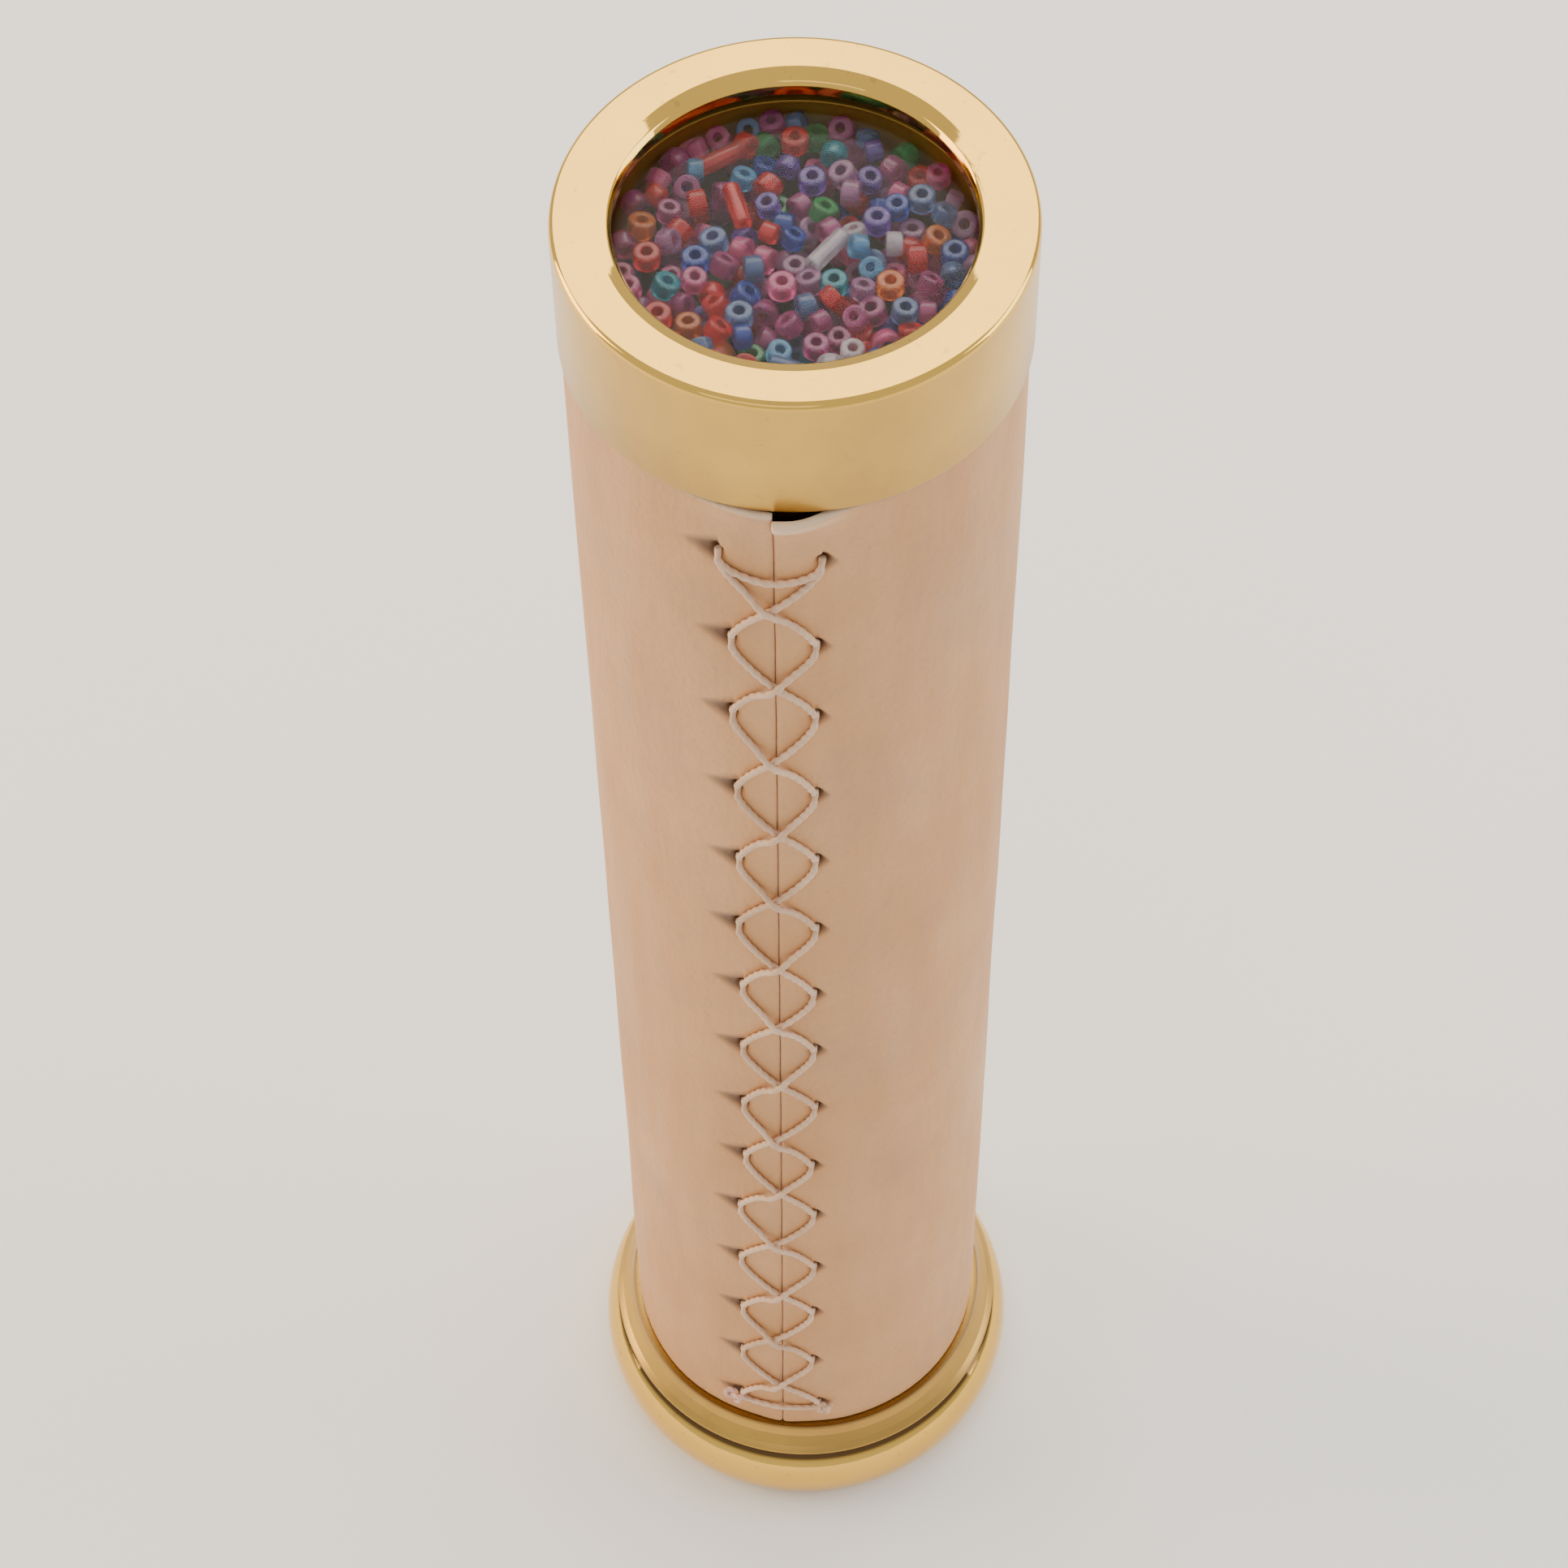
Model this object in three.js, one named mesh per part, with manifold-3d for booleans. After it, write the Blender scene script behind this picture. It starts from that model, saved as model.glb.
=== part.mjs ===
// A brass kaleidoscope in a laced leather sleeve, standing on its eyepiece.
// Millimetres, +Z up. The origin is the middle of the face it stands on, and the seam of the leather faces -Y.
// From the bottom: the eyepiece (cap, lens and its ring), the barrel (tube, mirrors, leather and lacing), and
// the object head, which turns on the barrel and holds loose glass beads between two windows.
import * as THREE from "three";
import { mergeVertices } from "three/addons/utils/BufferGeometryUtils.js";
import Module from "manifold-3d";

const wasm = await Module();
wasm.setup();

// ---- driving dimensions ----
const totalHeight = 205;
const tubeRadius = 19.05; // a tube of 1 1/2 inches
const tubeWall = 0.8;
const leatherThickness = 1.05;
const seamGap = 0.6;

const headRadius = 20.5; // outside of the object cap
const headHeight = 13.9;
const windowRadius = 15.3; // clear opening of the object cap
const faceThickness = 2; // of the cap's flat face
const lipSlope = 1; // how far the inner lip sinks below the face
const skirtInner = 19.35;

const footRadius = 24.5; // widest part of the eyepiece cap
const footHeight = 9.6;
const collarTop = 13.6;
const eyeHoleRadius = 6;
const cupDepth = 6; // of the hollow that the eye looks into
const cupRadius = 18.3;
const lensRadius = 9;

const glassThickness = 1.2;
const paneRadius = 19.2; // of everything clamped inside the cap
const chamberRadius = 16.4;
const chamberHeight = 5.9;
const bedHeight = 3.7; // of the packed beads that lie under the loose ones

const laceRadius = 0.33;
const laceRows = 15;
const topRowHeight = 184;
const rowPitch = 11.8;
const holeOffset = 3.6; // from the seam to a lacing hole, along the leather

const mirrorInradius = 7.6; // from the axis to a reflecting face
const mirrorWidth = 26.1;
const mirrorThickness = 2;
const maskThickness = 0.5;

const rest = 0.1; // between pieces that rest on each other
const running = 0.3; // between pieces that turn past each other
const roundSteps = 48; // facets of a full circle

// ---- heights that follow, from the top down ----
const headBottom = totalHeight - headHeight;
const faceUnderside = totalHeight - faceThickness;
const gasketBottom = faceUnderside - 0.5;
const outerWindowBottom = gasketBottom - rest - glassThickness;
const chamberTop = outerWindowBottom - rest;
const chamberBottom = chamberTop - chamberHeight;
const innerWindowBottom = chamberBottom - rest - glassThickness;
const flangeTop = innerWindowBottom - rest;
const flangeBottom = flangeTop - 1;
const tubeTop = flangeBottom - running;
const grooveTop = tubeTop - 6.8; // of the groove that the snap ring runs in
const grooveBottom = grooveTop - 1.2;
const spigotBottom = tubeTop - 10.5;

const tubeInner = tubeRadius - tubeWall;
const shoulderHeight = cupDepth + 2.6; // the ledge in the eyepiece cap that the tube stands on
const leatherInner = tubeRadius + rest;
const leatherOuter = leatherInner + leatherThickness;
const leatherBottom = collarTop + running;
const leatherTop = headBottom - running;
const rearMaskBottom = shoulderHeight + 6.6;
const mirrorBottom = rearMaskBottom + maskThickness + running;
const frontMaskTop = spigotBottom - running;
const mirrorTop = frontMaskTop - maskThickness - running;

// ---- materials ----
const material = (color, roughness, metalness = 0, opacity = 1) =>
  new THREE.MeshStandardMaterial({ color, roughness, metalness, opacity, transparent: opacity < 1 });
const polishedBrass = material(0xe0bd6a, 0.15, 1);
const plainBrass = material(0xb99a55, 0.4, 1);
const springSteel = material(0x9a9a98, 0.35, 1);
const leather = material(0xd0ab8c, 0.75);
const thread = material(0xeadfd0, 0.7);
const clearGlass = material(0xdde6e8, 0.05, 0, 0.3);
const mirrorGlass = material(0xe6ebee, 0.03, 1);
const blackCard = material(0x1c1b1a, 0.9);
const foam = material(0x3a3937, 0.95);
const tape = material(0x2a2624, 0.7);
const gasketRubber = material(0x242221, 0.8);
const beadGlass = (color) => material(color, 0.12, 0, 0.8);
const beadColours = [0x35589a, 0xc22a4a, 0x2f7a55, 0x8f3f86, 0xe0622c, 0x3f8fb0, 0xb05a9a];

// ---- helpers ----
const part = new THREE.Group();

function add(name, geometry, meshMaterial) {
  const mesh = new THREE.Mesh(geometry, meshMaterial);
  mesh.name = name;
  part.add(mesh);
}

// A closed outline of [radius, height] pairs, counter-clockwise, turned about Z.
function turned(outline, steps = roundSteps) {
  const points = [...outline, outline[0]].map(([r, z]) => new THREE.Vector2(r, z));
  return new THREE.LatheGeometry(points, steps).rotateX(Math.PI / 2);
}

function ring(inner, outer, bottom, top, steps = roundSteps) {
  return turned([[inner, bottom], [outer, bottom], [outer, top], [inner, top]], steps);
}

function disc(radius, bottom, top, steps = roundSteps) {
  const height = top - bottom;
  return new THREE.CylinderGeometry(radius, radius, height, steps)
    .rotateX(Math.PI / 2)
    .translate(0, 0, bottom + height / 2);
}

// Points [radius, height] on an ellipse, from one angle to another in degrees.
function arc(centre, radii, from, to, steps) {
  return Array.from({ length: steps + 1 }, (_, i) => {
    const angle = THREE.MathUtils.degToRad(from + ((to - from) * i) / steps);
    return [centre[0] + radii[0] * Math.cos(angle), centre[1] + radii[1] * Math.sin(angle)];
  });
}

// Points on a circle in the plane, from one angle to another in degrees.
function flatArc(radius, from, to, steps) {
  return arc([0, 0], [radius, radius], from, to, steps).map(([x, y]) => new THREE.Vector2(x, y));
}

// The corners of a triangle about the axis with one side facing +Y.
function trianglePoints(inradius) {
  return [-90, 30, 150].map((degrees) => {
    const angle = THREE.MathUtils.degToRad(degrees);
    return new THREE.Vector2(2 * inradius * Math.cos(angle), 2 * inradius * Math.sin(angle));
  });
}

function prism(outline, bottom, top, hole) {
  const shape = new THREE.Shape(outline);
  if (hole) shape.holes.push(new THREE.Path(hole));
  return new THREE.ExtrudeGeometry(shape, { depth: top - bottom, bevelEnabled: false }).translate(0, 0, bottom);
}

function toSolid(geometry) {
  const bare = geometry.clone().deleteAttribute("normal").deleteAttribute("uv");
  const merged = mergeVertices(bare, 1e-3);
  return new wasm.Manifold(
    new wasm.Mesh({
      numProp: 3,
      vertProperties: merged.attributes.position.array,
      triVerts: new Uint32Array(merged.index.array),
    }),
  );
}

function toGeometry(solid) {
  const mesh = solid.getMesh();
  const geometry = new THREE.BufferGeometry();
  geometry.setAttribute("position", new THREE.BufferAttribute(mesh.vertProperties, 3));
  geometry.setIndex(new THREE.BufferAttribute(mesh.triVerts, 1));
  geometry.computeVertexNormals();
  return geometry;
}

// ---- eyepiece ----
// The foot is a rounded roll under a flared collar, with a groove between them. The hollow below the lens
// is a shallow cup for the eye.
function eyepieceCap() {
  const rollWidth = 3;
  const rollCentre = [footRadius - rollWidth, footHeight / 2];
  return turned([
    [eyeHoleRadius, cupDepth],
    ...arc([cupRadius - 6, 0], [6, cupDepth], 90, 0, 5),
    ...arc(rollCentre, [rollWidth, footHeight / 2], -90, 66, 9),
    [footRadius - 1.9, footHeight + 0.2], // groove
    [footRadius - 1.5, footHeight + 0.7],
    [footRadius - 2.3, footHeight + 1.6], // flare of the collar
    [footRadius - 3.1, footHeight + 2.7],
    [footRadius - 3.5, collarTop - 0.5],
    [footRadius - 3.65, collarTop],
    [tubeRadius + rest, collarTop],
    [tubeRadius + rest, shoulderHeight],
    [lensRadius + rest, shoulderHeight],
    [lensRadius + rest, cupDepth + 1],
    [eyeHoleRadius, cupDepth + 1],
  ]);
}

function addEyepiece() {
  const lensBottom = cupDepth + 1 + rest;
  add("eyepiece_cap", eyepieceCap(), polishedBrass);
  add("eye_lens", disc(lensRadius, lensBottom, shoulderHeight - rest), clearGlass);
  add("lens_retaining_ring", ring(7, 11.5, shoulderHeight + rest, shoulderHeight + 1.1), plainBrass);
}

// ---- barrel ----
// The tube has a shallow groove inside its top end for the snap ring of the head.
function mainTube() {
  return turned([
    [tubeInner, shoulderHeight + running],
    [tubeRadius, shoulderHeight + running],
    [tubeRadius, tubeTop],
    [tubeInner, tubeTop],
    [tubeInner, grooveTop],
    [tubeInner + 0.3, grooveTop],
    [tubeInner + 0.3, grooveBottom],
    [tubeInner, grooveBottom],
  ]);
}

function leatherSleeve() {
  const sleeve = toSolid(ring(leatherInner, leatherOuter, leatherBottom, leatherTop));
  const slit = new THREE.BoxGeometry(seamGap, 6, totalHeight).translate(0, -leatherOuter, totalHeight / 2);
  return toGeometry(sleeve.subtract(toSolid(slit)));
}

// ---- lacing ----
const laceLift = 0.47; // from the leather to the middle of the thread
const lowRowHeight = topRowHeight - (laceRows - 1) * rowPitch;

// A point over the leather: its offset from the seam along the surface, and its height.
function overLeather(offset, height) {
  const angle = offset / leatherOuter;
  const radius = leatherOuter + laceLift;
  return new THREE.Vector3(radius * Math.sin(angle), -radius * Math.cos(angle), height);
}

// A thread with a six-sided section. turn is the angle in degrees of its first corner.
function threadAlong(points, turn = 0) {
  const path = new THREE.CatmullRomCurve3(points, false, "centripetal");
  const outline = flatArc(laceRadius, turn, turn + 300, 5);
  const steps = points.length - 1;
  return new THREE.ExtrudeGeometry(new THREE.Shape(outline), { steps, bevelEnabled: false, extrudePath: path });
}

// One strand zigzags down the seam, from the hole of one row to the opposite hole of the next.
function laceStrand(firstSide) {
  const points = [];
  for (let row = 0; row < laceRows; row++) {
    const side = row % 2 === 0 ? firstSide : -firstSide;
    const height = topRowHeight - row * rowPitch;
    points.push(overLeather(side * holeOffset, height));
    if (row === laceRows - 1) break;
    for (const share of [0.25, 0.5, 0.75]) {
      points.push(overLeather(side * holeOffset * (1 - 2 * share), height - rowPitch * share));
    }
  }
  return threadAlong(points);
}

// A stitch straight across the seam, sagging by an amount in its middle.
function crossStitch(height, reach, sag) {
  const points = [-1, -0.5, 0, 0.5, 1].map((share) =>
    overLeather(share * reach, height - sag * (1 - share * share)),
  );
  return threadAlong(points, 15);
}

function lacingThread() {
  const reach = holeOffset + 0.5;
  const looseSag = 2.6;
  const tightSag = 0.6;
  const pieces = [
    laceStrand(-1),
    laceStrand(1),
    crossStitch(topRowHeight + 0.1, reach, looseSag),
    crossStitch(lowRowHeight - 0.1, reach, tightSag),
  ];
  return toGeometry(pieces.map(toSolid).reduce((all, next) => all.add(next)));
}

// The two ends of the thread are knotted just beyond the lowest stitch.
function threadKnot(side) {
  const knotRadius = 0.75;
  const place = overLeather(side * (holeOffset + 0.5 + laceRadius + knotRadius + rest), lowRowHeight - 0.2);
  place.multiply(new THREE.Vector3(1.02, 1.02, 1));
  return new THREE.SphereGeometry(knotRadius, 8, 6).translate(place.x, place.y, place.z);
}

// ---- mirrors and what holds them ----
const mirrorBack = mirrorInradius + mirrorThickness;
const bandWidth = 8;
const padHeight = 20;

// The six-sided outline round the backs of the mirrors, grown by an offset.
function mirrorOutline(offset) {
  const flat = mirrorBack + offset;
  const corner = mirrorWidth / 2 + offset * Math.tan(Math.PI / 6);
  return [90, 210, 330].flatMap((degrees) => {
    const angle = THREE.MathUtils.degToRad(degrees);
    const normal = new THREE.Vector2(Math.cos(angle), Math.sin(angle));
    const tangent = new THREE.Vector2(-normal.y, normal.x);
    return [-corner, corner].map((along) => normal.clone().multiplyScalar(flat).addScaledVector(tangent, along));
  });
}

function mirrorStrip(turn) {
  const length = mirrorTop - mirrorBottom;
  return new THREE.BoxGeometry(mirrorWidth, mirrorThickness, length)
    .translate(0, mirrorInradius + mirrorThickness / 2, mirrorBottom + length / 2)
    .rotateZ(turn);
}

function packingPad(turn, bottom) {
  const outer = tubeInner - 0.25;
  const halfAngle = THREE.MathUtils.radToDeg(Math.acos((mirrorBack + 0.2) / outer));
  return prism(flatArc(outer, 90 - halfAngle, 90 + halfAngle, 12), bottom, bottom + padHeight).rotateZ(turn);
}

function triangleMask(bottom) {
  const outline = flatArc(tubeInner - rest, 0, 352.5, roundSteps - 1);
  return prism(outline, bottom, bottom + maskThickness, trianglePoints(mirrorInradius - 0.4));
}

function addMirrorSystem() {
  const length = mirrorTop - mirrorBottom;
  const levels = { lower: mirrorBottom + length * 0.15, upper: mirrorTop - length * 0.15 - bandWidth };
  for (let side = 0; side < 3; side++) {
    const turn = (side * 2 * Math.PI) / 3;
    add(`mirror_strip_${side + 1}`, mirrorStrip(turn), mirrorGlass);
    for (const [level, bandBottom] of Object.entries(levels)) {
      const towardsMiddle = level === "lower" ? bandWidth + 2 : -padHeight - 2;
      add(`packing_pad_${level}_${side + 1}`, packingPad(turn, bandBottom + towardsMiddle), foam);
    }
  }
  for (const [level, bottom] of Object.entries(levels)) {
    const band = prism(mirrorOutline(rest + 0.8), bottom, bottom + bandWidth, mirrorOutline(rest));
    add(`mirror_band_${level}`, band, tape);
  }
  add("rear_mask", triangleMask(rearMaskBottom), blackCard);
  add("front_mask", triangleMask(frontMaskTop - maskThickness), blackCard);
}

// ---- object head ----
function objectCap() {
  return turned([
    [skirtInner, headBottom],
    [headRadius - 0.2, headBottom],
    [headRadius, headBottom + 0.2],
    [headRadius, totalHeight - 0.5],
    [headRadius - 0.15, totalHeight - 0.15],
    [headRadius - 0.5, totalHeight],
    [windowRadius + 2.2, totalHeight],
    [windowRadius + 0.9, totalHeight - 0.3], // the lip slopes in to the glass
    [windowRadius, totalHeight - lipSlope],
    [windowRadius, faceUnderside],
    [skirtInner, faceUnderside],
  ]);
}

// The spigot goes down into the tube and turns there. Its flange carries the windows.
function headSpigot() {
  const spigotOuter = tubeInner - rest;
  const spigotInner = spigotOuter - 0.95;
  return turned([
    [spigotInner, spigotBottom],
    [spigotOuter, spigotBottom],
    [spigotOuter, grooveBottom],
    [spigotOuter - 0.4, grooveBottom],
    [spigotOuter - 0.4, grooveTop],
    [spigotOuter, grooveTop],
    [spigotOuter, flangeBottom],
    [paneRadius + 0.05, flangeBottom],
    [paneRadius + 0.05, flangeTop],
    [spigotInner, flangeTop],
  ]);
}

// A split ring that sits in the spigot's groove and springs out into the tube's.
function snapRing() {
  const outside = flatArc(tubeInner + 0.25, -75, 255, 44);
  const inside = flatArc(tubeInner - rest - 0.35, 255, -75, 44);
  return prism([...outside, ...inside], grooveBottom + 0.1, grooveTop - 0.1);
}

function addHead() {
  add("object_cap", objectCap(), polishedBrass);
  add("window_gasket", ring(chamberRadius, paneRadius, gasketBottom, faceUnderside - rest), gasketRubber);
  add("outer_window", disc(paneRadius, outerWindowBottom, outerWindowBottom + glassThickness), clearGlass);
  add("chamber_ring", ring(chamberRadius, paneRadius, chamberBottom, chamberTop), plainBrass);
  add("inner_window", disc(paneRadius, innerWindowBottom, innerWindowBottom + glassThickness), clearGlass);
  add("head_spigot", headSpigot(), plainBrass);
  add("snap_ring", snapRing(), springSteel);
}

// ---- beads ----
const bedBottom = chamberBottom;
const bedTop = bedBottom + bedHeight;

// The packed beads: a low mound that is level on top and rounded at its rim.
function beadBed() {
  const radius = chamberRadius - 0.5;
  const rim = 0.8;
  return turned([
    [0.4, bedBottom],
    [radius, bedBottom],
    ...arc([radius - rim, bedTop - rim], [rim, rim], 0, 90, 3),
    [0.4, bedTop],
  ]);
}

// A glass seed bead: a short rounded tube with its hole along Z.
function seedBead(radius, length) {
  const hole = radius * 0.4;
  const round = radius * 0.35;
  const half = length / 2;
  return turned(
    [
      [hole, -half],
      [radius - round, -half],
      [radius, round - half],
      [radius, half - round],
      [radius - round, half],
      [hole, half],
    ],
    10,
  );
}

// Single beads lie loose on the packed ones: most lie flat, small ones lie on edge, and every fifth is a bugle.
function addBeads() {
  add("bead_bed", beadBed(), beadGlass(0x5a4a70));
  const rings = [
    { count: 12, radius: 13, start: 0.1 },
    { count: 7, radius: 8, start: 0.6 },
    { count: 3, radius: 3.2, start: 0.3 },
  ];
  let number = 0;
  for (const { count, radius, start } of rings) {
    for (let i = 0; i < count; i++) {
      number += 1;
      const bugle = number % 5 === 0;
      const onEdge = bugle || number % 3 === 0;
      const bead = bugle ? seedBead(0.8, 4.4) : onEdge ? seedBead(0.9, 1.4) : seedBead(1.2, 1.6);
      if (onEdge) bead.rotateX(Math.PI / 2).rotateZ(1.7 * number);
      bead.computeBoundingBox();
      const angle = start + (2 * Math.PI * i) / count;
      const place = radius + 0.6 * Math.sin(2.4 * number); // not quite on the ring
      const rise = bedTop + rest - bead.boundingBox.min.z;
      bead.translate(place * Math.cos(angle), place * Math.sin(angle), rise);
      const colour = beadColours[number % beadColours.length];
      add(`${bugle ? "bugle" : "seed"}_bead_${number}`, bead, beadGlass(colour));
    }
  }
}

// ---- assembly ----
addEyepiece();
add("main_tube", mainTube(), plainBrass);
addMirrorSystem();
add("leather_sleeve", leatherSleeve(), leather);
add("lacing_thread", lacingThread(), thread);
add("thread_knot_left", threadKnot(-1), thread);
add("thread_knot_right", threadKnot(1), thread);
addHead();
addBeads();

export default part;
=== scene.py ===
import bisect
import math
import random

import bpy
from mathutils import Matrix, Vector, noise


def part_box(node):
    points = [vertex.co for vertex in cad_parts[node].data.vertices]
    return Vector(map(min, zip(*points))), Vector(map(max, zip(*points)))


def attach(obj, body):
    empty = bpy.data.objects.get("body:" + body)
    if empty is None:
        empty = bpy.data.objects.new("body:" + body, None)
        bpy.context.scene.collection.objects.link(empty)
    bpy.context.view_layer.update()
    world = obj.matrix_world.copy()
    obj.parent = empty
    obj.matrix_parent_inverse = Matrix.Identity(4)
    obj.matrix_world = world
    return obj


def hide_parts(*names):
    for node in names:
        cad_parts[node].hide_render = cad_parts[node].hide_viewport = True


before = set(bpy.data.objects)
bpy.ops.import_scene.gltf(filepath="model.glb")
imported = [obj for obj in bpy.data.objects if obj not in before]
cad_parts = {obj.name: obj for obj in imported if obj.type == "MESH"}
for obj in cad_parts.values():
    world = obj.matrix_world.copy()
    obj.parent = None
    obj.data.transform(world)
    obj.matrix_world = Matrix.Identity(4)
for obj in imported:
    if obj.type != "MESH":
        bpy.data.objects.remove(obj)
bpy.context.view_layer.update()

MM = 0.001

# Sizes in millimetres. They are the CAD's, apart from those with a comment.
TOTAL_HEIGHT = 205.0
HEAD_RADIUS = 20.5
HEAD_BOTTOM = 191.1
FACE_UNDERSIDE = 203.0
WINDOW_RADIUS = 15.3
SKIRT_INNER = 19.35
FOOT_RADIUS = 24.49  # a hair inside the CAD's foot
FOOT_HEIGHT = 9.6
COLLAR_TOP = 13.6
SOCKET_RADIUS = 19.15
SHOULDER = 8.8  # a hidden ledge, 0.2 above the CAD's
EYE_HOLE = 6.0
CUP_RADIUS = 18.3
CUP_DEPTH = 6.0
LENS_POCKET = 9.1
CHAMBER_RADIUS = 16.4
PANE_RADIUS = 19.2
CHAMBER_BOTTOM = 195.2
CHAMBER_TOP = 201.1
BED_TOP = 200.85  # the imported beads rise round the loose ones, so it is above the CAD's bed

LEATHER_RADIUS = 20.2
LEATHER_THICKNESS = 1.05
LEATHER_BOTTOM = 13.9
LEATHER_TOP = 190.8
SEAM_HALF_GAP = 0.012  # the edges nearly touch, where the CAD has a slit
FLAP_BOTTOM = 186.0  # the leather hugs the tube below this
HUGGING_RADIUS = 20.19

THREAD_RADIUS = 0.33
TOP_ROW = 184.0
ROW_PITCH = 11.8
ROWS = 15
LEFT, RIGHT = -1, 1
HOLE_OFFSET = {LEFT: 3.9, RIGHT: 3.5}  # from the seam, about the CAD's
WIDER_OFFSET = 0.9  # added at the ends of the lacing and low on the left
HOLE_PRESS = 0.95
HOLE_REACH = 0.55
PUCKER_DEPTH = 0.35
THREAD_STEP = 0.14
TWIST_LENGTH = 1.9
OVER_HUMP = 0.60
UNDER_HUMP = 0.03
BAR_HUMP = 0.1
LOOSE_SAG = 2.6
TIGHT_SAG = 0.5

FLOOR_HALF = 3.0  # metres
SKY_STRENGTH = 0.85


# ---------------------------------------------------------------- camera

def add_camera():
    """A long lens that looks down on the seam, a little to its right."""
    pitch, yaw, roll = math.radians(56.2), math.radians(-0.23), math.radians(-0.59)
    round_the_object = Matrix.Rotation(math.radians(6), 3, "Z")
    position = Vector((0.0236, -0.2249, 0.4580))
    forward = Vector((0, math.cos(pitch), -math.sin(pitch)))
    right = Vector((1, 0, 0))
    up = Vector((0, math.sin(pitch), math.cos(pitch)))
    forward, right = (
        math.cos(yaw) * forward + math.sin(yaw) * right,
        math.cos(yaw) * right - math.sin(yaw) * forward,
    )
    right, up = (
        math.cos(roll) * right + math.sin(roll) * up,
        math.cos(roll) * up - math.sin(roll) * right,
    )
    columns = [round_the_object @ axis for axis in (right, up, -forward)]
    matrix = Matrix([[c[i] for c in columns] for i in range(3)]).to_4x4()
    matrix.translation = position
    data = bpy.data.cameras.new("camera")
    data.lens = 93.2
    data.sensor_width = 36
    camera = bpy.data.objects.new("camera", data)
    camera.matrix_world = matrix
    bpy.context.scene.collection.objects.link(camera)
    bpy.context.scene.camera = camera


# ---------------------------------------------------------------- node helpers

def new_material(name, **values):
    """A Principled material. The values are for its own sockets."""
    material = bpy.data.materials.new(name)
    material.use_nodes = True
    tree = material.node_tree
    tree.nodes.clear()
    output = tree.nodes.new("ShaderNodeOutputMaterial")
    shader = tree.nodes.new("ShaderNodeBsdfPrincipled")
    tree.links.new(shader.outputs[0], output.inputs["Surface"])
    for key, value in values.items():
        shader.inputs[key.replace("_", " ")].default_value = value
    return material, tree, shader


def node(tree, kind, inputs=None, **settings):
    """A node with its settings, and with values or links in its inputs."""
    made = tree.nodes.new(kind)
    for key, value in settings.items():
        setattr(made, key, value)
    for key, value in (inputs or {}).items():
        put(tree, made.inputs[key], value)
    return made


def put(tree, socket, value):
    """A link into the socket where the value is a socket, or else a plain value."""
    if isinstance(value, bpy.types.NodeSocket):
        tree.links.new(value, socket)
    else:
        socket.default_value = value


def place(tree, stretch=(1, 1, 1)):
    """Object coordinates, scaled by stretch."""
    coords = node(tree, "ShaderNodeTexCoord").outputs["Object"]
    return node(tree, "ShaderNodeMapping", {"Vector": coords, "Scale": stretch}).outputs[0]


def cloud(tree, scale, detail=3, stretch=(1, 1, 1), rough=0.55):
    """A noise over the object, from 0 to 1."""
    made = node(
        tree,
        "ShaderNodeTexNoise",
        {"Vector": place(tree, stretch), "Scale": scale, "Detail": detail, "Roughness": rough},
    )
    return made.outputs["Fac"]


def spread(tree, value, low, high, out_low=0.0, out_high=1.0):
    """The range low to high, mapped to out_low to out_high and clamped."""
    made = node(
        tree,
        "ShaderNodeMapRange",
        {"Value": value, "From Min": low, "From Max": high, "To Min": out_low, "To Max": out_high},
    )
    return made.outputs["Result"]


def maths(tree, operation, a, b=0.5):
    return node(tree, "ShaderNodeMath", {0: a, 1: b}, operation=operation).outputs[0]


def mixed(tree, factor, a, b):
    """A colour mix. a and b are (r, g, b) or sockets."""
    made = node(tree, "ShaderNodeMix", data_type="RGBA")
    put(tree, made.inputs[0], factor)
    for socket, value in ((made.inputs[6], a), (made.inputs[7], b)):
        put(tree, socket, (*value, 1) if isinstance(value, tuple) else value)
    return made.outputs[2]


def attribute(tree, name):
    return node(tree, "ShaderNodeAttribute", attribute_name=name).outputs["Fac"]


def bump(tree, height, distance, strength=1.0, normal=None):
    inputs = {"Height": height, "Distance": distance, "Strength": strength}
    if normal is not None:
        inputs["Normal"] = normal
    return node(tree, "ShaderNodeBump", inputs).outputs[0]


# ---------------------------------------------------------------- mesh helpers

def mesh_object(name, points, faces, sharp_angle=32, attributes=None):
    """A smooth-shaded mesh in millimetres, with edges over sharp_angle kept sharp."""
    mesh = bpy.data.meshes.new(name)
    mesh.from_pydata([tuple(MM * c for c in p) for p in points], [], faces)
    mesh.validate()
    mesh.shade_smooth()
    mesh.set_sharp_from_angle(angle=math.radians(sharp_angle))
    for key, values in (attributes or {}).items():
        layer = mesh.attributes.new(key, "FLOAT", "POINT")
        layer.data.foreach_set("value", values)
    made = bpy.data.objects.new(name, mesh)
    bpy.context.scene.collection.objects.link(made)
    return made


def finish_piece(obj, body, material, replaces=()):
    """Material and body of a piece, and the CAD nodes that it replaces."""
    obj.data.materials.append(material)
    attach(obj, body)
    if replaces:
        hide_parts(*replaces)


def filleted(corners, steps=5):
    """A closed outline of (r, z, radius) corners, each rounded by its own radius."""
    outline = []
    count = len(corners)
    for i, (r, z, radius) in enumerate(corners):
        here = Vector((r, z))
        if radius <= 0:
            outline.append((r, z))
            continue
        before = Vector(corners[i - 1][:2]) - here
        after = Vector(corners[(i + 1) % count][:2]) - here
        half = before.angle(after) / 2
        reach = min(radius / math.tan(half), 0.45 * before.length, 0.45 * after.length)
        start = here + before.normalized() * reach
        end = here + after.normalized() * reach
        for k in range(steps + 1):
            t = k / steps
            point = (1 - t) ** 2 * start + 2 * t * (1 - t) * here + t * t * end
            outline.append((point.x, point.y))
    return outline


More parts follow.
